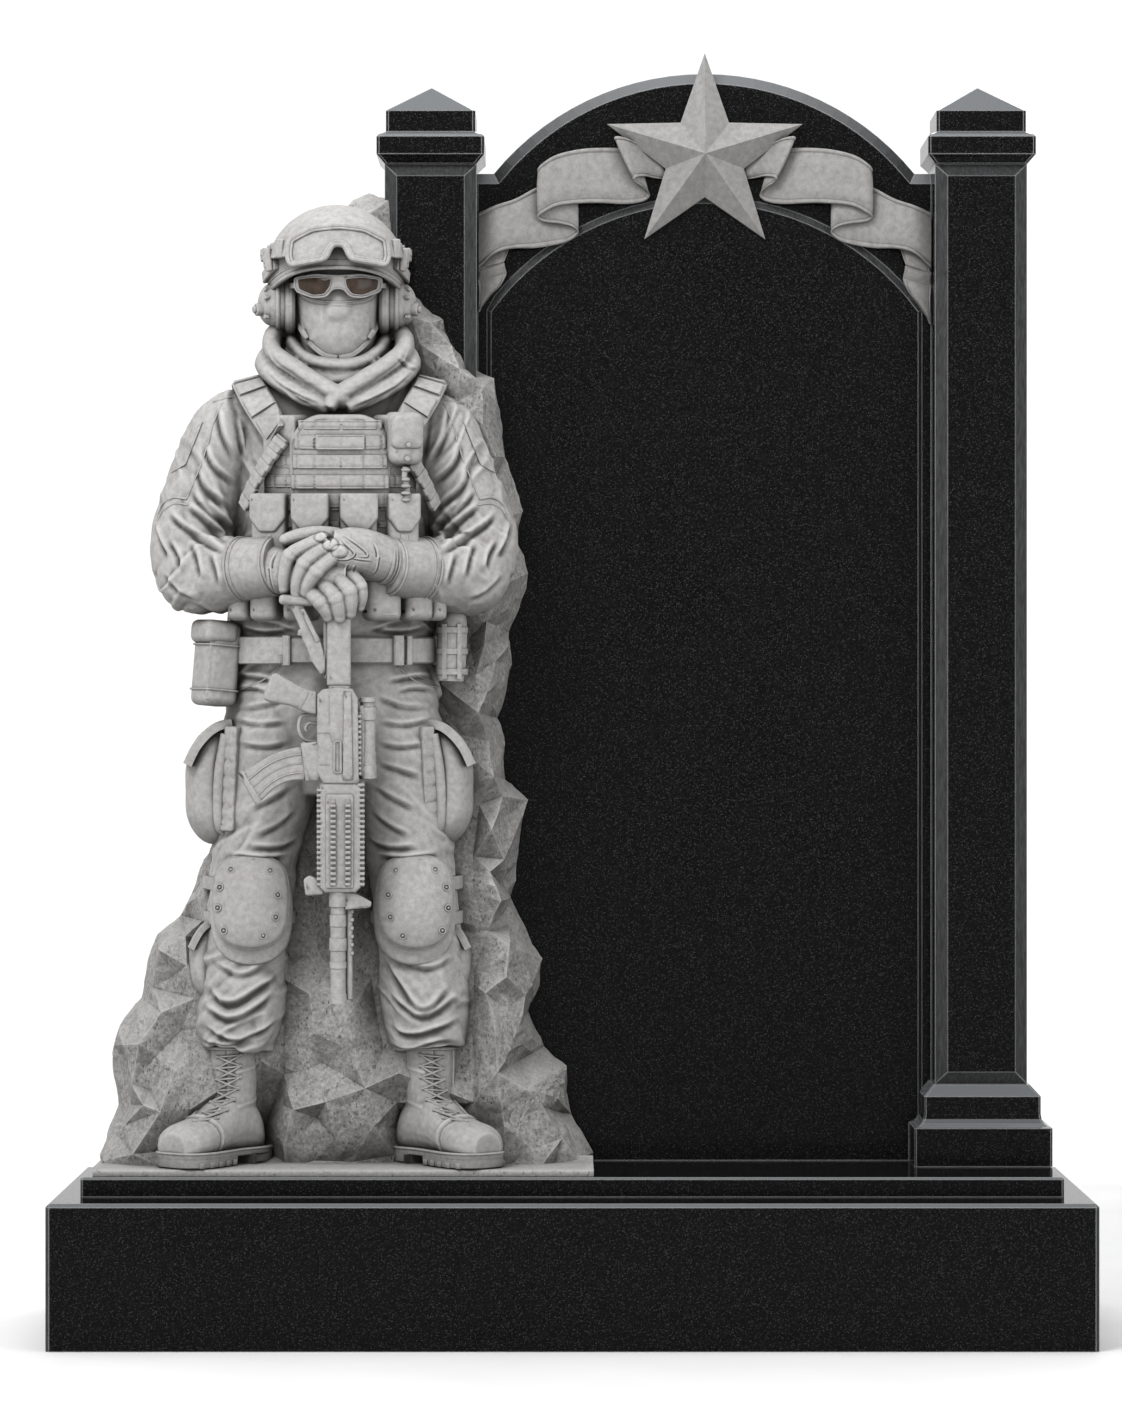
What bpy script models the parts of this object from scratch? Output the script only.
"""War memorial: a polished black granite headstone with two pillars, a star and a ribbon, and beside it a
soldier carved in pale grey granite against a rough rock. Metres, +Z up, the front faces -Y, and the origin
is the middle of the plinth's underside."""

import math
import random

import bmesh
import bpy
import numpy as np
from mathutils import Matrix, Vector

# Gap left between pieces that stand on or against each other
JOINT = 0.0003

# Plinth and the step slab on it
PLINTH_WIDTH = 2.0
PLINTH_DEPTH = 0.75
PLINTH_HEIGHT = 0.281
PLINTH_ARRIS = 0.007
STEP_SIDE_LEDGE = 0.054
STEP_FRONT_LEDGE = 0.125
STEP_BACK_LEDGE = 0.045
STEP_HEIGHT = 0.038
STEP_ARRIS = 0.004

# Pillars, square in plan
HEADSTONE_CENTRE_X = 0.265
PILLAR_CENTRE_Y = 0.095
PILLAR_GAP = 0.907
PILLAR_WIDTH = 0.182
SHAFT_HEIGHT = 1.82
SHAFT_ARRIS = 0.004
PANEL_BEVEL = 0.024
PANEL_RISE = 0.012
BASE_WIDTH = 0.272
BASE_BLOCK_HEIGHT = 0.076
BASE_COVE_HEIGHT = 0.026
BASE_UPPER_WIDTH = 0.230
BASE_UPPER_HEIGHT = 0.035
BASE_SLOPE_HEIGHT = 0.022
CAP_WIDTH = 0.213
CAP_FLARE_HEIGHT = 0.012
CAP_BLOCK_HEIGHT = 0.045
CAP_LEDGE_HEIGHT = 0.006
CAP_UPPER_WIDTH = 0.177
CAP_UPPER_HEIGHT = 0.042
CAP_PYRAMID_HEIGHT = 0.056
CAP_ARRIS = 0.005

# Stele between the pillars: an arched slab with a raised arched panel
STELE_SETBACK = 0.100
STELE_THICKNESS = 0.080
SHOULDER_DROP = 0.006
ARCH_HALF_WIDTH = 0.421
ARCH_RISE = 0.200
STELE_CHAMFER = 0.022
FIELD_MARGIN = 0.013
FIELD_ARC_RADIUS = 0.528
FIELD_TOP_DROP = 0.062
FIELD_RISE = 0.008
FIELD_BEVEL = 0.014

# Star and ribbon fixed to the stele
STAR_RADIUS = 0.205
STAR_INNER_SHARE = 0.40
STAR_DROP = 0.169
STAR_EDGE = 0.012
STAR_RELIEF = 0.042
STAR_CLEARANCE = 0.0015
RIGHT_TAIL_STRETCH = 1.2

# Carved soldier and rock, one block of stone
FIGURE_X = -0.4686
FIGURE_Y = -0.070
FIGURE_HEIGHT = 1.88
FIGURE_UNITS = 188.0
FOOT_PLATE_HEIGHT = 0.012
FOOT_PLATE_BACK_RISE = 0.012
NOTCH_CLEARANCE = 0.001
CARVING_GRID = 0.0085
FIGURE_TRIANGLES = 6800

# Heights of the joints between the pieces
STEP_BOTTOM = PLINTH_HEIGHT + JOINT
STEP_TOP = STEP_BOTTOM + STEP_HEIGHT
FLOOR = STEP_TOP + JOINT
BASE_HEIGHT = BASE_BLOCK_HEIGHT + BASE_COVE_HEIGHT + BASE_UPPER_HEIGHT + BASE_SLOPE_HEIGHT
SHAFT_BOTTOM = FLOOR + BASE_HEIGHT + JOINT
SHOULDER_HEIGHT = BASE_HEIGHT + SHAFT_HEIGHT - SHOULDER_DROP
CAP_BOTTOM = SHAFT_BOTTOM + SHAFT_HEIGHT + JOINT
PILLAR_FRONT = PILLAR_CENTRE_Y - PILLAR_WIDTH / 2
STELE_FRONT = PILLAR_FRONT + STELE_SETBACK
STELE_BACK = STELE_FRONT + STELE_THICKNESS
FIELD_FRONT = STELE_FRONT - FIELD_RISE
STAR_HEIGHT = SHOULDER_HEIGHT + ARCH_RISE - STAR_DROP
STAR_CENTRE = Vector((HEADSTONE_CENTRE_X, FIELD_FRONT - JOINT, FLOOR + STAR_HEIGHT))
PLATE_TOP = FLOOR + FOOT_PLATE_HEIGHT
UNIT = FIGURE_HEIGHT / FIGURE_UNITS

BLACK = ("black_granite", (0.012, 0.013, 0.014, 1), 0.12)
GREY = ("grey_granite", (0.42, 0.40, 0.385, 1), 0.75)
PALE = ("pale_granite", (0.50, 0.48, 0.46, 1), 0.65)


def clear_scene():
    for obj in list(bpy.data.objects):
        bpy.data.objects.remove(obj)


def material(name, colour, roughness):
    made = bpy.data.materials.get(name)
    if made is None:
        made = bpy.data.materials.new(name)
        made.use_nodes = True
        shader = made.node_tree.nodes["Principled BSDF"]
        shader.inputs["Base Color"].default_value = colour
        shader.inputs["Roughness"].default_value = roughness
        shader.inputs["Metallic"].default_value = 0.0
    return made


def as_object(name, bm, look, place=(0, 0, 0)):
    """A finished bmesh as a named object with its material."""
    bmesh.ops.recalc_face_normals(bm, faces=bm.faces)
    mesh = bpy.data.meshes.new(name)
    bm.to_mesh(mesh)
    bm.free()
    mesh.materials.append(material(*look))
    obj = bpy.data.objects.new(name, mesh)
    obj.location = place
    bpy.context.scene.collection.objects.link(obj)
    return obj


def freeze(obj):
    """Puts what the object's modifiers make into its mesh."""
    graph = bpy.context.evaluated_depsgraph_get()
    mesh = bpy.data.meshes.new_from_object(obj.evaluated_get(graph))
    obj.modifiers.clear()
    obj.data = mesh
    return obj


def combine(obj, other, operation, solver="EXACT"):
    """Boolean of two objects, applied. The other one is used up."""
    boolean = obj.modifiers.new(operation.lower(), "BOOLEAN")
    boolean.operation = operation
    boolean.solver = solver
    boolean.object = other
    freeze(obj)
    bpy.data.objects.remove(other)
    return obj


def keep_largest(obj):
    """Drops the chips that a cut has left apart from the main body."""
    bm = bmesh.new()
    bm.from_mesh(obj.data)
    waiting = set(bm.verts)
    bodies = []
    while waiting:
        reached = [waiting.pop()]
        for vert in reached:
            for edge in vert.link_edges:
                other = edge.other_vert(vert)
                if other in waiting:
                    waiting.remove(other)
                    reached.append(other)
        bodies.append(reached)
    bodies.sort(key=len)
    for body in bodies[:-1]:
        bmesh.ops.delete(bm, geom=body, context="VERTS")
    bm.to_mesh(obj.data)
    bm.free()


def place_verts(verts, points):
    for vert, point in zip(verts, points):
        vert.co = point


def ring(bm, points):
    """A closed loop of edges through the points, from a circle."""
    verts = bmesh.ops.create_circle(bm, segments=len(points), radius=1)["verts"]
    place_verts(verts, points)
    return list({edge for vert in verts for edge in vert.link_edges})


def loft(bm, rings):
    """Closed skin over rings of equally many points."""
    loops = [ring(bm, points) for points in rings]
    for lower, upper in zip(loops, loops[1:]):
        bmesh.ops.bridge_loops(bm, edges=lower + upper)
    for end in (loops[0], loops[-1]):
        bmesh.ops.edgeloop_fill(bm, edges=end)


def box(bm, low, high):
    middle = (Vector(low) + Vector(high)) / 2
    size = Vector(high) - Vector(low)
    bmesh.ops.create_cube(bm, size=1, matrix=Matrix.Translation(middle) @ Matrix.Diagonal((*size, 1)))


def arris(bm, width, keep=lambda edge: True):
    """Small flat chamfer along the edges that keep chooses."""
    edges = [edge for edge in bm.edges if keep(edge)]
    bmesh.ops.bevel(bm, geom=edges, offset=width, segments=1, profile=0.5, affect="EDGES", material=-1)


def block(name, low, high, width, look):
    """Stone slab with a chamfer along every edge but those of its underside."""
    bm = bmesh.new()
    box(bm, low, high)
    bottom = min(low[2], high[2])
    arris(bm, width, lambda edge: max(v.co.z for v in edge.verts) > bottom + width)
    return as_object(name, bm, look)


def make_plinth():
    half_w, half_d = PLINTH_WIDTH / 2, PLINTH_DEPTH / 2
    block("plinth", (-half_w, -half_d, 0), (half_w, half_d, PLINTH_HEIGHT), PLINTH_ARRIS, BLACK)
    block(
        "step_slab",
        (-half_w + STEP_SIDE_LEDGE, -half_d + STEP_FRONT_LEDGE, STEP_BOTTOM),
        (half_w - STEP_SIDE_LEDGE, half_d - STEP_BACK_LEDGE, STEP_TOP),
        STEP_ARRIS,
        BLACK,
    )


def square(half, z, corner):
    """Square ring with its corners cut off, less so where the ring is small."""
    near = half - min(corner, half * 0.3)
    signs = ((1, 1), (-1, 1), (-1, -1), (1, -1))
    points = []
    for index, (sx, sy) in enumerate(signs):
        ends = [(sx * half, sy * near, z), (sx * near, sy * half, z)]
        points += ends if index % 2 == 0 else ends[::-1]
    return points


def is_upright(edge):
    a, b = (vert.co for vert in edge.verts)
    return abs(a.z - b.z) > 0.001


def turned_square(name, profile, place, width):
    """Square moulding that follows a profile of (half width, height), with its corners chamfered."""
    bm = bmesh.new()
    loft(bm, [square(half, z, width) for half, z in profile])
    return as_object(name, bm, BLACK, place)


def base_profile():
    """Block, hollow cove, upper block and slope up to the shaft."""
    outer, upper = BASE_WIDTH / 2, BASE_UPPER_WIDTH / 2
    cove_steps = 4
    z = BASE_BLOCK_HEIGHT
    points = [(outer, 0), (outer, z)]
    for step in range(1, cove_steps + 1):
        turn = math.pi / 2 * step / cove_steps
        points.append((outer - (outer - upper) * math.sin(turn), z + BASE_COVE_HEIGHT * (1 - math.cos(turn))))
    z += BASE_COVE_HEIGHT + BASE_UPPER_HEIGHT
    return points + [(upper, z), (PILLAR_WIDTH / 2 + SHAFT_ARRIS, z + BASE_SLOPE_HEIGHT)]


def cap_profile():
    """Flare over the shaft, wide block, ledge, upper block and the start of the pyramid."""
    outer, upper = CAP_WIDTH / 2, CAP_UPPER_WIDTH / 2
    z = 0.0
    points = [(PILLAR_WIDTH / 2, z)]
    z += CAP_FLARE_HEIGHT
    points += [(outer - CAP_ARRIS, z), (outer, z + CAP_ARRIS)]
    z += CAP_BLOCK_HEIGHT
    points += [(outer, z - CAP_ARRIS), (outer - CAP_ARRIS, z)]
    z += CAP_LEDGE_HEIGHT
    points += [(upper, z), (upper, z + CAP_UPPER_HEIGHT)]
    tip_share = 0.01
    return points + [(upper * tip_share, z + CAP_UPPER_HEIGHT + CAP_PYRAMID_HEIGHT * (1 - tip_share))]


def base_room(name, x, room):
    """The space a pillar's base takes up with some room round it, reaching below its underside."""
    (first, _), *upper = base_profile()
    profile = [(first + room, -BASE_HEIGHT), (first + room, upper[0][1])]
    profile += [(half + room, z + room) for half, z in upper[1:]]
    bm = bmesh.new()
    loft(bm, [square(half, z, PLINTH_ARRIS / 2) for half, z in profile])
    return as_object(name, bm, BLACK, (x, PILLAR_CENTRE_Y, FLOOR))


def make_shaft(name, x):
    """Square shaft whose front stands proud as a panel with bevelled edges."""
    half = PILLAR_WIDTH / 2
    bm = bmesh.new()
    box(bm, (-half, -half + PANEL_RISE, 0), (half, half, SHAFT_HEIGHT))
    front = [face for face in bm.faces if face.normal.y < -0.9]
    bmesh.ops.inset_region(bm, faces=front, thickness=PANEL_BEVEL, depth=PANEL_RISE, use_even_offset=True)
    arris(bm, SHAFT_ARRIS, lambda edge: is_upright(edge) and all(v.co.y > half - 0.001 for v in edge.verts))
    as_object(name, bm, BLACK, (x, PILLAR_CENTRE_Y, SHAFT_BOTTOM))


def make_pillar(side, x):
    turned_square(f"pillar_base_{side}", base_profile(), (x, PILLAR_CENTRE_Y, FLOOR), PLINTH_ARRIS / 2)
    make_shaft(f"pillar_shaft_{side}", x)
    turned_square(f"pillar_cap_{side}", cap_profile(), (x, PILLAR_CENTRE_Y, CAP_BOTTOM), CAP_ARRIS)


def arc(centre_x, centre_z, radius, start, end, steps):
    """Points on a circle in the XZ plane, from one angle to another."""
    angles = [start + (end - start) * step / steps for step in range(steps + 1)]
    return [(centre_x + radius * math.cos(a), centre_z + radius * math.sin(a)) for a in angles]


def upright_slab(bm, outline, front, back):
    """Outline of (x, z) points as a slab between two values of y. Returns its front face."""
    verts = [bm.verts.new((x, front, z)) for x, z in outline]
    face = bm.faces.new(verts)
    made = bmesh.ops.extrude_face_region(bm, geom=[face])["geom"]
    moved = [item for item in made if isinstance(item, bmesh.types.BMVert)]
    bmesh.ops.translate(bm, verts=moved, vec=(0, back - front, 0))
    return face


def stele_outline():
    """Straight sides, level shoulders and a round arch between them."""
    half = PILLAR_GAP / 2 - JOINT
    radius = (ARCH_HALF_WIDTH**2 + ARCH_RISE**2) / (2 * ARCH_RISE)
    centre_z = SHOULDER_HEIGHT + ARCH_RISE - radius
    swing = math.asin(ARCH_HALF_WIDTH / radius)
    arch = arc(0, centre_z, radius, math.pi / 2 - swing, math.pi / 2 + swing, 28)
    return [(-half, 0), (half, 0), (half, SHOULDER_HEIGHT), *arch, (-half, SHOULDER_HEIGHT)]


def field_outline(grow):
    """Raised panel with an arched head; grow widens it all round except below."""
    half = PILLAR_GAP / 2 - FIELD_MARGIN - FIELD_BEVEL + grow
    radius = FIELD_ARC_RADIUS + grow
    centre_z = SHOULDER_HEIGHT - FIELD_TOP_DROP - FIELD_ARC_RADIUS
    swing = math.asin(half / radius)
    arch = arc(0, centre_z, radius, math.pi / 2 - swing, math.pi / 2 + swing, 28)
    return [(-half, 0), (half, 0), *arch]


def field_body(room):
    """The raised panel with its sloping edge, sunk into the stele; room makes it larger all round."""
    sunk = STELE_THICKNESS / 4
    limit = PILLAR_GAP / 2 - 2 * JOINT
    slope = FIELD_BEVEL * (1 + sunk / FIELD_RISE)
    far = [(max(-limit, min(limit, x)), z) for x, z in field_outline(room + slope)]
    bm = bmesh.new()
    near_ring = [(x, FIELD_FRONT - room, z) for x, z in field_outline(room)]
    loft(bm, [near_ring, [(x, STELE_FRONT + sunk, z) for x, z in far]])
    return bm


def make_stele():
    bm = bmesh.new()
    upright_slab(bm, stele_outline(), STELE_FRONT, STELE_BACK)
    chamfered = [
        edge
        for edge in bm.edges
        if all(v.co.y < STELE_FRONT + 1e-5 and v.co.z > SHOULDER_HEIGHT - 1e-4 for v in edge.verts)
    ]
    bmesh.ops.bevel(
        bm, geom=chamfered, offset=STELE_CHAMFER, segments=1, profile=0.5, affect="EDGES", material=-1
    )
    stele = as_object("stele", bm, BLACK, (HEADSTONE_CENTRE_X, 0, FLOOR))
    combine(stele, as_object("field", field_body(0), BLACK, stele.location), "UNION")
    for side in (-1, 1):
        x = HEADSTONE_CENTRE_X + side * (PILLAR_GAP + PILLAR_WIDTH) / 2
        combine(stele, base_room("base_room", x, JOINT), "DIFFERENCE")


def star_points(radius):
    """Ten corners of a five-pointed star, the first at the top."""
    points = []
    for corner in range(10):
        reach = radius * (STAR_INNER_SHARE if corner % 2 else 1)
        turn = math.pi / 2 + math.pi / 5 * corner
        points.append((reach * math.cos(turn), reach * math.sin(turn)))
    return points


def make_star():
    bm = bmesh.new()
    face = upright_slab(bm, star_points(STAR_RADIUS), -STAR_EDGE, 0)
    bm.normal_update()
    offset = STAR_RELIEF if face.normal.y < 0 else -STAR_RELIEF
    bmesh.ops.poke(bm, faces=[face], offset=offset)
    as_object("star", bm, PALE, STAR_CENTRE)


def smooth_line(points, per_span):
    """Curve through all the points (Catmull-Rom), each a tuple of equally many numbers."""
    known = [np.array(p, float) for p in points]
    known = [2 * known[0] - known[1], *known, 2 * known[-1] - known[-2]]
    line = []
    for a, b, c, d in zip(known, known[1:], known[2:], known[3:]):
        for step in range(per_span):
            t = step / per_span
            cubic = (2 * a - 5 * b + 4 * c - d) * t**2 + (3 * b - a - 3 * c + d) * t**3
            line.append(0.5 * (2 * b + (c - a) * t + cubic))
    line.append(known[-2])
    return line


# Each ribbon fold as stations of (top x, top z, bottom x, bottom z, relief) from the star's centre, running
# away from the star. The unit makes the star's radius 20.5 and the reach to the pillar 45.6. The list is
# one ribbon, and the other one is its mirror.
RIBBON_STAR_RADIUS = 20.5
RIBBON_REACH = 45.6
RIBBON_FOLDS = {
    "by_star": [
        (-12.0, 1.2, -9.0, -7.6, 1.2),
        (-18.0, 1.5, -15.6, -9.4, 2.0),
        (-25.0, 1.3, -23.0, -9.3, 2.9),
        (-30.8, -0.3, -29.6, -10.3, 3.8),
        (-33.0, -2.3, -32.9, -12.4, 4.2),
    ],
    "turned_under": [
        (-33.0, -5.0, -32.9, -13.6, 3.6),
        (-29.5, -6.0, -30.6, -14.8, 2.6),
        (-26.0, -7.0, -27.0, -15.2, 1.6),
    ],
    "outer": [
        (-26.0, -4.4, -26.4, -15.8, 1.7),
        (-33.2, -6.0, -33.4, -18.2, 2.5),
        (-37.8, -8.2, -39.6, -19.1, 3.0),
        (-42.3, -9.8, -43.2, -20.8, 3.3),
        (-45.6, -11.8, -45.6, -22.8, 2.8),
    ],
    "tail": [
        (-45.6, -19.0, -40.2, -18.6, 1.5),
        (-45.6, -23.0, -40.6, -22.0, 1.8),
        (-45.6, -27.0, -41.2, -26.6, 1.6),
        (-45.6, -30.6, -45.0, -30.2, 1.0),
    ],
}


def ribbon_fold(stations, side, lengthen):
    """One fold as a closed strip from the stele's face out to its relief, as wide as the gap allows."""
    across = side * (PILLAR_GAP / 2 - 2 * JOINT) / RIBBON_REACH
    unit = STAR_RADIUS / RIBBON_STAR_RADIUS
    back = STELE_FRONT - JOINT - STAR_CENTRE.y
    start = stations[0][1]
    bm = bmesh.new()
    rings = []
    for top_x, top_z, low_x, low_z, relief in smooth_line(stations, 4):
        out = back - relief * unit
        xa, xb = top_x * across, low_x * across
        za, zb = ((start + (z - start) * lengthen) * unit for z in (top_z, low_z))
        rings.append([(xa, back, za), (xa, out, za), (xb, out, zb), (xb, back, zb)])
    loft(bm, rings)
    return bm


def make_ribbon(name, side):
    """Folds joined into one carving, cut away round the star."""
    lengthen = {fold: RIGHT_TAIL_STRETCH if fold == "tail" and side < 0 else 1.0 for fold in RIBBON_FOLDS}
    parts = [
        as_object(f"{name}_{fold}", ribbon_fold(stations, side, lengthen[fold]), PALE, STAR_CENTRE)
        for fold, stations in RIBBON_FOLDS.items()
    ]
    ribbon = parts[0]
    for part in parts[1:]:
        combine(ribbon, part, "UNION")
    hole = bmesh.new()
    reach = STAR_RELIEF + STAR_EDGE + STAR_RADIUS
    upright_slab(hole, star_points(STAR_RADIUS + STAR_CLEARANCE / STAR_INNER_SHARE), -reach, reach)
    combine(ribbon, as_object(f"{name}_star_room", hole, PALE, STAR_CENTRE), "DIFFERENCE")
    field = as_object(f"{name}_field", field_body(JOINT), PALE, (HEADSTONE_CENTRE_X, 0, FLOOR))
    combine(ribbon, field, "DIFFERENCE")
    ribbon.name = name


# The soldier's forms, in hundredths of a metre at the stated height, from the middle between the heels:
# x to the viewer's right, y away from the viewer, z up from the soles.

TORSO = [
    (0.5, 1, 72, 13, 9),
    (0.5, 1, 80, 19, 12),
    (0, 1, 90, 21.6, 13.5),
    (0, 0.5, 97, 20.6, 13.4),
    (0, 0, 101, 20, 13.2),
    (0, 0, 108, 21.0, 14.2),
    (0, 0, 116, 19.5, 14.5),
    (0, 0.5, 130, 19, 14.2),
    (0, 1, 142, 20.5, 13.4),
    (0, 1.5, 149, 20.0, 11.6),
    (0, 2, 154, 14.5, 9.5),
    (0, 2, 157.5, 8.5, 7.5),
]
UPPER_ARM = [
    (16, 1.5, 147, 5.5, 6.2),
    (20.5, 1, 143.5, 7.4, 8),
    (23.4, 0.5, 137, 7.9, 8.3),
    (25.6, 0, 129.5, 8.5, 8.6),
    (27.6, -0.5, 121.5, 9.0, 9.0),
    (27.6, -1.5, 115.5, 8.4, 8.6),
]
FOREARM = [
    (29.6, 0.5, 118.5, 6.6, 7.0),
    (26.5, -3.5, 116.2, 9.0, 8.6),
    (22.5, -7.5, 115.6, 8.0, 7.6),
    (17.8, -11.5, 116.2, 6.2, 6.0),
    (13.2, -15, 117, 5.4, 5.2),
]
LEG = [
    (9, 1, 92, 9, 10),
    (11.6, 0.5, 84, 10.8, 11.4),
    (12.8, 0, 75, 9.8, 10.6),
    (14.4, -0.5, 66, 9.0, 9.8),
    (15.8, -1, 56, 8.2, 9.2),
    (16.4, -1, 50, 8.0, 9.0),
    (17.4, 0, 41, 8.4, 8.8),
    (17.9, 0.5, 33, 8.9, 9.2),
    (18.6, 0.5, 26, 8.4, 8.8),
    (19.0, 0.5, 21.5, 7.4, 7.6),
]
BOOT_SHAFT = [
    (19.3, 1, 24, 5.1, 5.6),
    (19.5, 1, 17, 5.1, 5.8),
    (19.6, 1.5, 10, 5.4, 6.4),
    (19.6, 2, 4, 5.6, 7),
]
BOOT_SPLAY = 37
# Foot of the boot from heel to toe, as (distance ahead of the ankle, middle height, half width, half height)
BOOT_FOOT = [
    (-7, 5.0, 3.9, 4.4),
    (-2, 7.4, 4.7, 6.4),
    (4, 8.0, 5.0, 6.2),
    (9, 6.6, 5.2, 5.2),
    (14, 5.8, 5.7, 4.6),
    (18, 5.3, 5.3, 4.0),
    (20.6, 4.6, 3.4, 2.8),
]
HEAD = [
    (1, 0, 156, 7.2, 7.4),
    (1, -0.5, 160, 6.8, 8.4),
    (1, -1, 165, 8.2, 10.0),
    (1, -0.6, 170, 8.7, 10.4),
    (1, 0, 176, 8.8, 10.6),
]
HELMET = Vector((0.7, 0.3, 175.4))
HELMET_SIZE = (13.4, 14.4, 12.6)
HELMET_BRIM = 7.5
HELMET_FRONT_RIM = -0.4
HELMET_SIDE_RIM = -3.6
GOGGLES = [(-10.2, -8.2, 2.6), (-7.6, -11.0, 3.9), (0, -13.9, 3.9), (7.6, -11.0, 3.9), (10.2, -8.2, 2.6)]
GLASSES = [(-8.4, -6.2, 1.6), (-5.6, -9.4, 2.4), (0, -11.2, 1.9), (5.6, -9.4, 2.4), (8.4, -6.2, 1.6)]
HOOD_ROLL = [
    (10, 6, 163, 3.4, 4),
    (14.5, 0.5, 160.5, 3.6, 4),
    (13.4, -6, 156.4, 3.5, 3.6),
    (7.4, -11, 152.2, 3.3, 3.2),
    (-1, -13.6, 147.6, 3.0, 2.8),
]
NECK_ROLL = [
    (-7.6, 3, 161, 2.4, 2.6),
    (-7.4, -3.5, 158.6, 2.5, 2.6),
    (-3.6, -7.4, 156.2, 2.6, 2.6),
    (1, -8.6, 155.2, 2.6, 2.6),
    (5.6, -7.4, 156.2, 2.6, 2.6),
    (9.4, -3.5, 158.6, 2.5, 2.6),
    (9.6, 3, 161, 2.4, 2.6),
]


def tube(bm, stations, sides=14, per_span=3):
    """Limb through stations of (x, y, z, half width, half depth), its rings square to its run."""
    line = smooth_line(stations, per_span)
    centres = [Vector(station[:3]) for station in line]
    rings = []
    for index, station in enumerate(line):
        run = (centres[min(index + 1, len(line) - 1)] - centres[max(index - 1, 0)]).normalized()
        wide = Vector((0, 1, 0)).cross(run).normalized()
        deep = run.cross(wide)
        wide, deep = wide * station[3], deep * station[4]
        turns = [2 * math.pi * k / sides for k in range(sides)]
        rings.append([centres[index] + wide * math.cos(a) + deep * math.sin(a) for a in turns])
    loft(bm, rings)


def mirrored(stations):
    return [(-station[0], *station[1:]) for station in stations]


def ball(bm, centre, radii, turn=0.0):
    """Ellipsoid; turn tips it about y, in degrees."""
    matrix = Matrix.Translation(centre) @ Matrix.Rotation(math.radians(turn), 4, "Y")
    matrix = matrix @ Matrix.Diagonal((*radii, 1))
    bmesh.ops.create_uvsphere(bm, u_segments=16, v_segments=10, radius=1, matrix=matrix)


def pad(bm, centre, size, turn=(0, 0, 0), soft=0.25):
    """Box with rounded edges: a pouch, a plate or a buckle. turn is degrees about x, y and z."""
    rotation = Matrix.Rotation(math.radians(turn[2]), 4, "Z") @ Matrix.Rotation(math.radians(turn[1]), 4, "Y")
    rotation = rotation @ Matrix.Rotation(math.radians(turn[0]), 4, "X")
    made = bmesh.ops.create_cube(bm, size=1, matrix=Matrix.Diagonal((*size, 1)))["verts"]
    edges = list({edge for vert in made for edge in vert.link_edges})
    width = min(size) * soft
    bevelled = bmesh.ops.bevel(
        bm, geom=edges, offset=width, segments=2, profile=0.5, affect="EDGES", material=-1
    )["verts"]
    bmesh.ops.transform(bm, matrix=Matrix.Translation(centre) @ rotation, verts=bevelled)


def rod(bm, start, end, radius, sides=12):
    tube(bm, [(*start, radius, radius), (*end, radius, radius)], sides, 1)


def add_body(bm):
    tube(bm, TORSO, 24)
    for side in (mirrored, list):
        tube(bm, side(UPPER_ARM))
        tube(bm, side(FOREARM))
        tube(bm, side(LEG), 16)
    ball(bm, (1, 5, 158), (15, 8, 7))
    tube(bm, HOOD_ROLL)
    tube(bm, mirrored(HOOD_ROLL[:-1] + [(1, -13.0, 148.6, 3.0, 2.8)]))
    tube(bm, NECK_ROLL)


def add_boot(bm, side):
    """Boot turned outwards, with its welt, sole and heel."""
    shaft = BOOT_SHAFT if side > 0 else mirrored(BOOT_SHAFT)
    tube(bm, shaft)
    splay = math.radians(BOOT_SPLAY) * side
    ankle = Vector((19.6 * side, 1.5, 0))
    ahead = Vector((math.sin(splay), -math.cos(splay), 0))
    across = Vector((math.cos(splay), math.sin(splay), 0))
    turns = [2 * math.pi * k / 14 for k in range(14)]
    rings = []
    for along, height, half, tall in smooth_line(BOOT_FOOT, 2):
        centre = ankle + ahead * along + Vector((0, 0, height))
        wide, high = across * half, Vector((0, 0, tall))
        rings.append([centre + wide * math.cos(a) + high * math.sin(a) for a in turns])
    loft(bm, rings)
    turn = math.degrees(splay)
    sole = ankle + ahead * 12.2
    pad(bm, (sole.x, sole.y, 1.3), (11.4, 17.6, 2.6), (0, 0, turn), 0.4)
    heel = ankle + ahead * -4.6
    pad(bm, (heel.x, heel.y, 1.6), (9.2, 8.6, 3.2), (0, 0, turn), 0.2)


def soft_power(value):
    """Sine or cosine bent so that a circle becomes a rounded square."""
    return math.copysign(abs(value) ** 0.72, value)


def add_knee_pad(bm, side):
    slices = [(1.0, 3.0), (1.0, 0.0), (0.94, -1.4), (0.78, -2.6), (0.45, -3.4)]
    turns = [2 * math.pi * k / 20 for k in range(20)]
    outline = [(soft_power(math.cos(a)) * 7.8, soft_power(math.sin(a)) * 9.2) for a in turns]
    loft(bm, [[Vector((16.4 * side + x * s, y - 7.0, 51.2 + z * s)) for x, z in outline] for s, y in slices])


def add_pockets(bm, side):
    """Cargo pocket on the thigh and the smaller one on the calf."""
    pad(bm, (24.0 * side, 0.5, 74.5), (6.4, 13, 21), (0, -7 * side, 0), 0.3)
    pad(bm, (24.9 * side, -0.5, 83.4), (6.6, 14, 5.5), (0, -18 * side, 0), 0.3)
    pad(bm, (25.6 * side, 1, 39), (4.4, 9, 14), (0, -3 * side, 0), 0.3)
    pad(bm, (26.2 * side, 1, 44.6), (4.8, 10, 3.8), (0, -14 * side, 0), 0.3)


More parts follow.
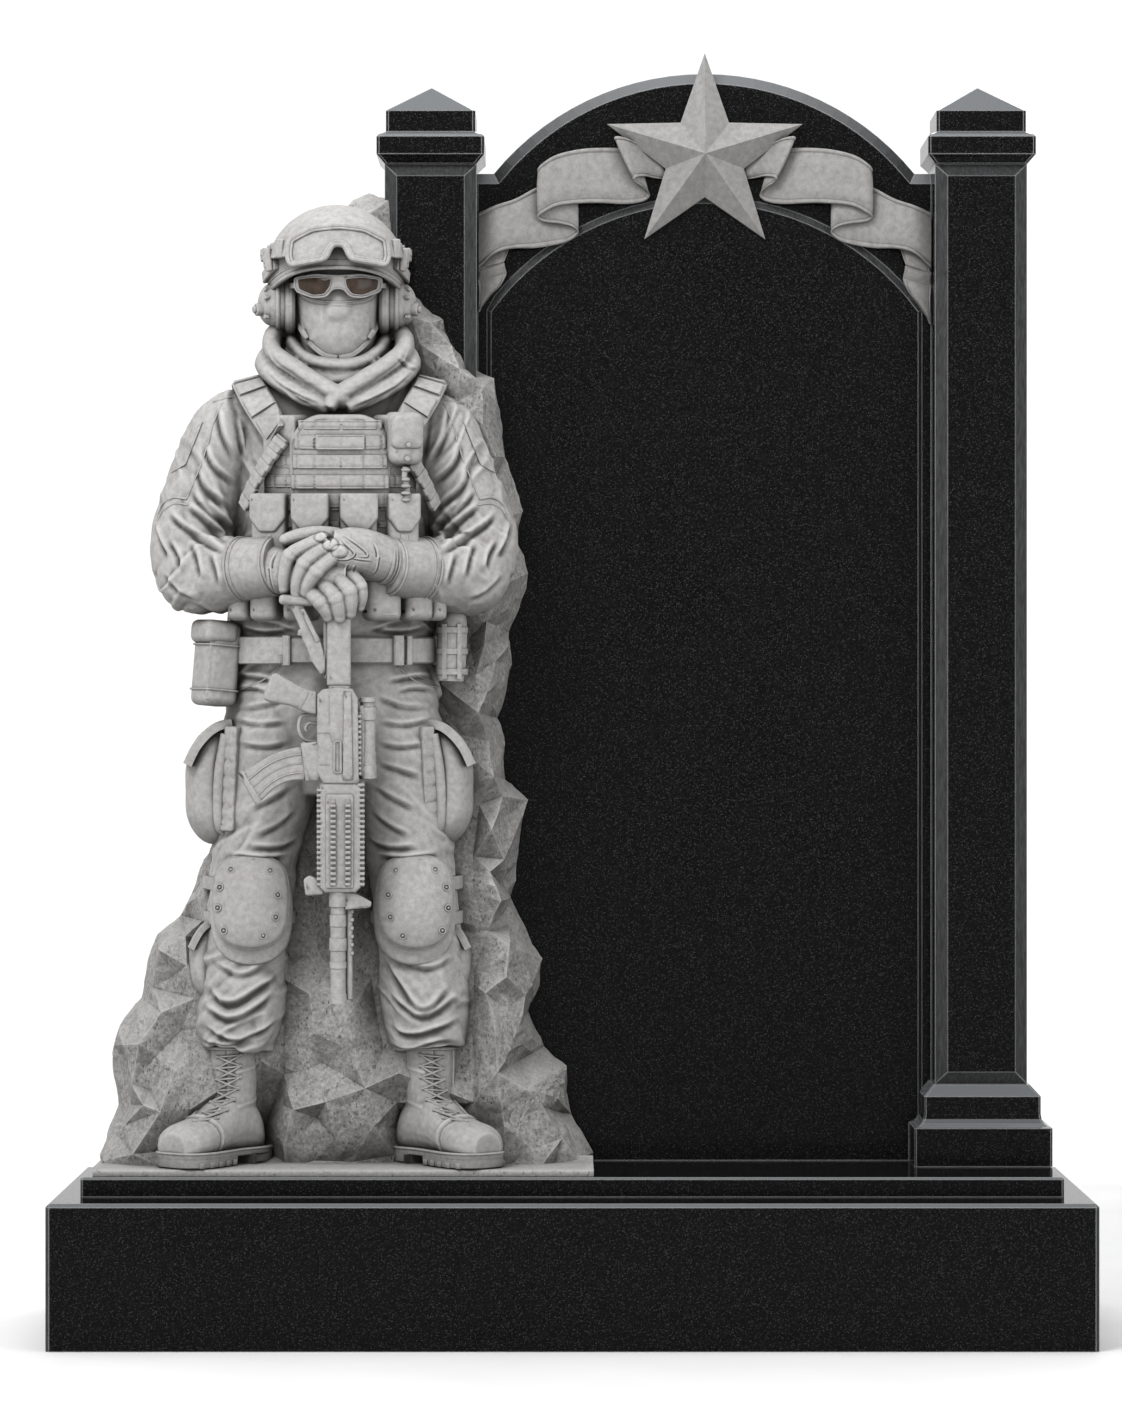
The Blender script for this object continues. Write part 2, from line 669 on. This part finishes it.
def add_head(bm):
    """Masked head with helmet, goggles on the helmet, glasses and ear defenders."""
    tube(bm, HEAD, 18)
    ball(bm, (1, -6.6, 163), (4.2, 4.2, 3.6))
    matrix = Matrix.Translation(HELMET) @ Matrix.Diagonal((*HELMET_SIZE, 1))
    helmet = bmesh.ops.create_uvsphere(bm, u_segments=24, v_segments=14, radius=1, matrix=matrix)["verts"]
    for vert in helmet:
        over_ear = abs(vert.co.x - HELMET.x) > HELMET_BRIM
        vert.co.z = max(vert.co.z, HELMET.z + (HELMET_SIDE_RIM if over_ear else HELMET_FRONT_RIM))
    tube(bm, [(0.9 + x, y, 179.2, tall, 2.2) for x, y, tall in GOGGLES], 10)
    tube(bm, [(1 + x, y, 172.2, tall, 1.6) for x, y, tall in GLASSES], 8)
    for side in (-1, 1):
        ball(bm, (0.8 + 11.4 * side, -1.2, 168.4), (3.6, 4.6, 4.9))
        ball(bm, (0.8 + 13.4 * side, -1.6, 167.6), (2.0, 2.6, 2.8))


MAGAZINE_POUCHES = [(-10.6, 7.0), (-2.4, 7.4), (6.2, 7.8), (14.2, 5.6)]
LOWER_POUCHES = [-14.5, -7.0, 9.6, 16.6]
SHOULDER_STRAP = [(13.0, -11.8, 141, 3.4, 1.4), (15.6, -11.0, 148, 3.4, 1.5), (17.2, -5.5, 154, 3.2, 1.5)]
SHOULDER_STRAP_END = (17.0, 2, 155, 3.0, 1.4)
SIDE_STRAP = [(11.0, -13.6, 143, 1.6, 1.2), (15.0, -13.4, 137, 1.6, 1.2), (18.4, -10, 129, 1.5, 1.2)]


def add_vest(bm):
    """Plate carrier with its straps, chest plate, magazine pouches, belt and side pouches."""
    pad(bm, (1.5, -14.0, 138.8), (24, 4.6, 17), (4, 0, 0), 0.3)
    for row in range(4):
        pad(bm, (1.6, -16.6 + 0.15 * row, 143.6 - 3.9 * row), (18.6, 1.2, 2.9), (3, 0, 0), 0.2)
    for x, width in MAGAZINE_POUCHES:
        pad(bm, (x, -16.4 + abs(x) * 0.11, 123.2), (width, 5.6, 16.5), (0, 0, x * 1.3), 0.2)
    for x in LOWER_POUCHES:
        pad(bm, (x, -14.6 + abs(x) * 0.14, 108.6), (6.4, 4.6, 8.0), (0, 0, x * 1.6), 0.25)
    for side in (mirrored, list):
        tube(bm, side([*SHOULDER_STRAP, SHOULDER_STRAP_END]), 12)
        tube(bm, side(SIDE_STRAP), 10)
    pad(bm, (13.2, -15.6, 141.5), (6.0, 4.4, 9.6), (0, 0, 10), 0.35)
    belt = [(0.4, 0, 97.6, 20.8, 14.4), (0.4, 0, 100.3, 21.0, 14.6), (0.4, 0, 103, 20.9, 14.5)]
    tube(bm, belt, 24, 1)
    pad(bm, (-22.6, -4.5, 99), (6.6, 8, 16), (0, 5, 20), 0.35)
    pad(bm, (23.4, -4.5, 101), (5.2, 7, 15.5), (0, -5, -20), 0.4)


LOWER_HAND = [
    (-13.4, -15.4, 117, 4.8, 4.6),
    (-9.4, -18.4, 116.4, 4.9, 4.4),
    (-4, -20.4, 115.6, 4.2, 3.6),
    (2, -21, 114.4, 3.6, 3.2),
]
UPPER_HAND = [
    (12.6, -15.4, 117.6, 5.0, 4.6),
    (7.6, -19.2, 118.2, 5.2, 4.0),
    (1.6, -22.2, 119.6, 4.6, 3.4),
    (-3.4, -22.4, 120.4, 3.2, 2.6),
]
# Fingers as (x of the knuckle, x and z of the bend, x and z of the tip)
UPPER_FINGERS = [
    (-3.2, -8.4, 119.2, -9.4, 112.8),
    (-1.8, -6.4, 118.0, -7.4, 111.4),
    (0.0, -4.0, 116.6, -5.8, 111.4),
    (1.6, -1.6, 116.2, -4.4, 112.0),
]
LOWER_FINGERS = [
    (-4.6, -2.2, 111.4, -1.0, 107.4),
    (-1.2, 0.7, 111.4, 1.4, 106.8),
    (1.8, 3.2, 111.4, 3.4, 107.2),
    (4.4, 5.4, 111.4, 5.2, 109.2),
]


def add_hands(bm):
    """Gloved hands, one over the other on the butt of the rifle."""
    tube(bm, LOWER_HAND)
    tube(bm, UPPER_HAND)
    for x, bend_x, bend_z, tip_x, tip_z in UPPER_FINGERS:
        bend, tip = (bend_x, -23.6, bend_z, 1.25, 1.3), (tip_x, -21.6, tip_z, 1.0, 1.0)
        tube(bm, [(x, -23, 121, 1.3, 1.3), bend, tip], 8, 2)
    for x, bend_x, bend_z, tip_x, tip_z in LOWER_FINGERS:
        bend, tip = (bend_x, -24.2, bend_z, 1.4, 1.4), (tip_x, -23.2, tip_z, 1.1, 1.1)
        tube(bm, [(x, -23.2, 114.4, 1.5, 1.5), bend, tip], 8, 2)


MAGAZINE = [
    (-1.6, -19.6, 78.8, 3.8, 1.8),
    (-7.4, -19.4, 78.2, 3.6, 1.8),
    (-12.6, -19.2, 75.6, 3.4, 1.8),
    (-16.4, -19, 72.4, 3.2, 1.8),
]


def add_rifle(bm):
    """Rifle held muzzle down, leaning back towards the rock, with the stone left standing behind it."""
    pad(bm, (1.2, -21.2, 102.5), (4.6, 5.0, 20), (3, 0, 0), 0.15)
    pad(bm, (-3.6, -21.4, 104.0), (2.4, 3.0, 17), (3, -27, 0), 0.15)
    pad(bm, (-5.5, -21.8, 112.2), (7.0, 4.2, 2.6), (0, 0, 0), 0.3)
    pad(bm, (1.0, -19.8, 84.6), (7.0, 5.4, 18.6), (3, 0, 0), 0.12)
    pad(bm, (-7.2, -19.8, 92.6), (10.4, 3.6, 5.4), (0, 27, 0), 0.2)
    pad(bm, (-4.8, -19.6, 85.8), (3.6, 1.2, 4.6), (0, 0, 0), 0.2)
    tube(bm, MAGAZINE, 8)
    pad(bm, (6.8, -19.4, 83.2), (3.4, 3.4, 15.2), (3, 0, 0), 0.3)
    pad(bm, (1.4, -18.0, 64.4), (8.2, 5.6, 21.4), (4, 0, 0), 0.15)
    for x in (-2.6, 5.4):
        pad(bm, (x, -18.2, 64.4), (1.4, 3.0, 20.0), (4, 0, 0), 0.2)
    pad(bm, (-3.8, -17.2, 54.4), (4.2, 2.4, 3.6), (0, 0, 0), 0.3)
    pad(bm, (5.6, -17.2, 51.6), (4.8, 2.2, 2.4), (0, 12, 0), 0.3)
    rod(bm, (0.8, -17.2, 54), (0.8, -15.2, 31.8), 1.7)
    rod(bm, (3.3, -16.2, 52), (3.3, -14.8, 32.8), 0.9, 8)
    pad(bm, (1.2, -8.5, 58), (3.0, 17, 38), (3, 0, 0), 0.1)
    pad(bm, (1.0, -10, 96), (3.0, 18, 30), (0, 0, 0), 0.1)


def fold(points, centre, run, reach, width, height):
    """Height of one crease: a ridge along the run, fading towards its ends."""
    offset = points - np.array(centre)
    along_axis = np.array(run) / np.linalg.norm(run)
    along = offset @ along_axis
    across = offset - along[:, None] * along_axis
    across[:, 1] *= 0.25
    distance = np.linalg.norm(across, axis=1)
    return height * np.exp(-((distance / width) ** 2)) * np.clip(1 - (along / reach) ** 2, 0, 1)


# Runs of creases as (from x, z), (to x, z), how many, slant of each in degrees, reach, width, height
CREASES = [
    ((27, 143), (28, 122), 6, 38, 8, 1.3, 1.3),
    ((30, 119), (16, 112), 6, 62, 8, 1.3, 1.3),
    ((24, 122), (19, 118), 3, 30, 7, 1.3, 1.2),
    ((13, 90), (14, 66), 7, 14, 11, 1.6, 1.1),
    ((19, 40), (18, 23), 5, -16, 9, 1.7, 1.5),
    ((10, 107), (2, 104), 3, 6, 9, 1.2, 0.8),
]


def creases(points):
    """Drapery of the sleeves and trousers, the same rule on both sides with its own shifts."""
    random.seed(7)
    total = np.zeros(len(points))
    for side in (-1, 1):
        for start, end, count, slant, reach, width, height in CREASES:
            for index in range(count):
                share = (index + random.uniform(0.2, 0.8)) / count
                x = side * (start[0] + (end[0] - start[0]) * share)
                z = start[1] + (end[1] - start[1]) * share
                turn = math.radians(slant + random.uniform(-12, 12))
                run = (side * math.cos(turn), 0, -math.sin(turn))
                total += fold(points, (x, -9, z), run, reach, width, height)
    return total


def carve_creases(mesh):
    """Moves each point out along its normal by the crease height there, on cloth only."""
    count = len(mesh.vertices)
    points = np.zeros(count * 3)
    normals = np.zeros(count * 3)
    mesh.vertices.foreach_get("co", points)
    mesh.vertex_normals.foreach_get("vector", normals)
    points = points.reshape(-1, 3)
    normals = normals.reshape(-1, 3)
    depth = creases(points)
    depth[(np.abs(points[:, 0]) < 11) & (points[:, 1] < -15)] = 0
    moved = points + normals * depth[:, None]
    mesh.vertices.foreach_set("co", moved.ravel())


def as_carving(name, bm, triangles, grid, creased):
    """Overlapping forms as one skin on a fine grid, thinned to so many triangles."""
    obj = as_object(name, bm, PALE)
    remesh = obj.modifiers.new("one_skin", "REMESH")
    remesh.mode = "VOXEL"
    remesh.voxel_size = grid
    freeze(obj)
    if creased:
        carve_creases(obj.data)
    obj.data.transform(Matrix.Diagonal((UNIT, UNIT, UNIT, 1)))
    obj.data.transform(Matrix.Translation((FIGURE_X, FIGURE_Y, PLATE_TOP)))
    thin = obj.modifiers.new("thin", "DECIMATE")
    thin.ratio = min(1.0, triangles / (2 * len(obj.data.polygons)))
    thin.use_collapse_triangulate = True
    return freeze(obj)


def make_figure():
    bm = bmesh.new()
    add_body(bm)
    for side in (-1, 1):
        add_boot(bm, side)
        add_knee_pad(bm, side)
        add_pockets(bm, side)
    add_head(bm)
    add_vest(bm)
    add_hands(bm)
    add_rifle(bm)
    return as_carving("soldier_and_rock", bm, FIGURE_TRIANGLES, CARVING_GRID / UNIT, True)


# The rock level by level, as (height over the plate, left x, right x, front y, bulge between the legs), in
# hundredths of a metre from the middle between the heels, at the figure's stated height
ROCK = [
    (-2, -46.4, 51.4, 0.5, 6),
    (3, -45.8, 50.0, 0.5, 6),
    (9, -43.0, 46.4, 1.0, 6.5),
    (17, -44.6, 45.4, 1.0, 5.5),
    (23, -44.0, 41.4, 1.5, 6),
    (30, -41.4, 38.8, 1.5, 6),
    (38, -37.6, 41.0, 2.0, 5),
    (46, -33.4, 37.6, 2.0, 5.5),
    (53, -29.6, 35.2, 2.0, 6.5),
    (62, -26.6, 36.6, 2.5, 6.5),
    (71, -24.4, 37.4, 2.5, 6),
    (79, -22.6, 34.0, 2.5, 5),
    (88, -21.6, 32.4, 2.0, 4),
    (98, -21.0, 34.4, 2.0, 0),
    (107, -21.0, 34.8, 1.5, 0),
    (116, -22.0, 38.0, 1.5, 0),
    (123, -22.0, 35.8, 1.5, 0),
    (130, -21.0, 37.2, 1.5, 0),
    (139, -19.6, 33.6, 2.0, 0),
    (147, -17.6, 33.2, 2.0, 0),
    (154, -15.6, 30.6, 2.5, 0),
    (161, -13.6, 23.6, 3.0, 0),
    (168, -11.6, 18.4, 3.5, 0),
    (175, -9.0, 13.6, 4.0, 0),
    (183, -4.0, 11.0, 6.0, 0),
    (190, 2.0, 11.0, 9.0, 0),
    (194.5, 5.4, 10.6, 11.0, 0),
]
ROCK_FRONT_POINTS = 13
ROCK_BACK_POINTS = 7
ROCK_SQUARENESS = 3.2
ROCK_ROUGHNESS = 3.0
ROCK_BACK = 0.205
STELE_BITE = 0.012


def rock_ring(height, left, right, front, bulge):
    """One level of the rock: squarish across the front, rounded at the sides and back, chipped at random."""
    middle, half = (left + right) / 2, (right - left) / 2
    edge = (FIELD_FRONT + STELE_BITE - FIGURE_Y) / UNIT
    back = (ROCK_BACK - FIGURE_Y) / UNIT - height * 0.02
    points = []
    for index in range(ROCK_FRONT_POINTS):
        across = math.cos(math.pi * index / (ROCK_FRONT_POINTS - 1))
        reach = (1 - abs(across) ** ROCK_SQUARENESS) ** (1 / ROCK_SQUARENESS)
        x = middle + half * across
        y = edge + (front - edge) * reach - bulge * math.exp(-((x / 9) ** 2))
        points.append((x, y))
    for index in range(1, ROCK_BACK_POINTS + 1):
        across = -math.cos(math.pi * index / (ROCK_BACK_POINTS + 1))
        points.append((middle + half * 0.96 * across, edge + (back - edge) * math.sqrt(1 - across**2)))
    rough = ROCK_ROUGHNESS * min(1.0, half / 14)
    chipped = []
    for index, (x, y) in enumerate(points):
        on_front = 0 < index < ROCK_FRONT_POINTS - 1
        shift_x = random.uniform(-0.6, 0.6) * rough * on_front
        shift_y = random.uniform(-1, 0.7) * rough * (1.0 if on_front else 0.3)
        shift_z = random.uniform(-0.8, 0.8) * rough * (height > 0)
        chipped.append((x + shift_x, y + shift_y, height + shift_z))
    return chipped


def make_rock():
    random.seed(11)
    bm = bmesh.new()
    loft(bm, [rock_ring(*level) for level in ROCK])
    bmesh.ops.triangulate(bm, faces=bm.faces, quad_method="ALTERNATE")
    bmesh.ops.transform(bm, matrix=Matrix.Diagonal((UNIT, UNIT, UNIT, 1)), verts=bm.verts)
    return as_object("rock", bm, GREY, (FIGURE_X, FIGURE_Y, PLATE_TOP))


def make_foot_plate():
    """Plate under the boots, rising a little where it meets the rock."""
    bm = bmesh.new()
    left, right = -45.6 * UNIT, 51.0 * UNIT
    front, back = -15.6 * UNIT, 4.0 * UNIT
    side = [
        (front, -FOOT_PLATE_HEIGHT - 0.02),
        (front, -FOOT_PLATE_HEIGHT * 0.35),
        (front + 0.008, 0.0),
        (0.0, 0.0),
        (back, FOOT_PLATE_BACK_RISE),
        (back, -FOOT_PLATE_HEIGHT - 0.02),
    ]
    loft(bm, [[(x, y, z) for y, z in side] for x in (left, right)])
    return as_object("foot_plate", bm, GREY, (FIGURE_X, FIGURE_Y, PLATE_TOP))


def headstone_room(name):
    """What the left pillar and the stele take out of the rock, with a little clearance."""
    room = NOTCH_CLEARANCE
    x = HEADSTONE_CENTRE_X - PILLAR_GAP / 2 - PILLAR_WIDTH / 2
    top = CAP_BOTTOM + 1.0
    spaces = [
        ("shaft", PILLAR_WIDTH / 2, SHAFT_BOTTOM - 0.02, CAP_BOTTOM),
        ("cap", CAP_WIDTH / 2, CAP_BOTTOM - room, top),
    ]
    cutters = [base_room(f"{name}_base", x, room)]
    for label, half, low, high in spaces:
        bm = bmesh.new()
        box(
            bm,
            (x - half - room, PILLAR_CENTRE_Y - half - room, low),
            (x + half + room, PILLAR_CENTRE_Y + half + room, high),
        )
        cutters.append(as_object(f"{name}_{label}", bm, GREY))
    bm = bmesh.new()
    box(bm, (x, FIELD_FRONT - room, FLOOR - 0.5), (x + PLINTH_WIDTH, PLINTH_DEPTH, top))
    cutters.append(as_object(f"{name}_stele", bm, GREY))
    bm = bmesh.new()
    box(bm, (-PLINTH_WIDTH, -PLINTH_DEPTH, FLOOR - 0.6), (PLINTH_WIDTH, PLINTH_DEPTH, FLOOR))
    cutters.append(as_object(f"{name}_step", bm, GREY))
    return cutters


def make_sculpture():
    """Soldier, rock and foot plate as one stone, fitted round the pillar and against the stele."""
    figure = make_figure()
    room, *others = headstone_room("room")
    for other in others:
        combine(room, other, "UNION")
    # The exact solver loses the creased skin when the room is cut from it
    combine(figure, make_rock(), "UNION", "MANIFOLD")
    combine(figure, make_foot_plate(), "UNION", "MANIFOLD")
    combine(figure, room, "DIFFERENCE", "MANIFOLD")
    keep_largest(figure)
    figure.data.materials.clear()
    figure.data.materials.append(material(*GREY))


def main():
    clear_scene()
    make_plinth()
    offset = PILLAR_GAP / 2 + PILLAR_WIDTH / 2
    make_pillar("left", HEADSTONE_CENTRE_X - offset)
    make_pillar("right", HEADSTONE_CENTRE_X + offset)
    make_stele()
    make_star()
    make_ribbon("ribbon_left", 1)
    make_ribbon("ribbon_right", -1)
    make_sculpture()


main()
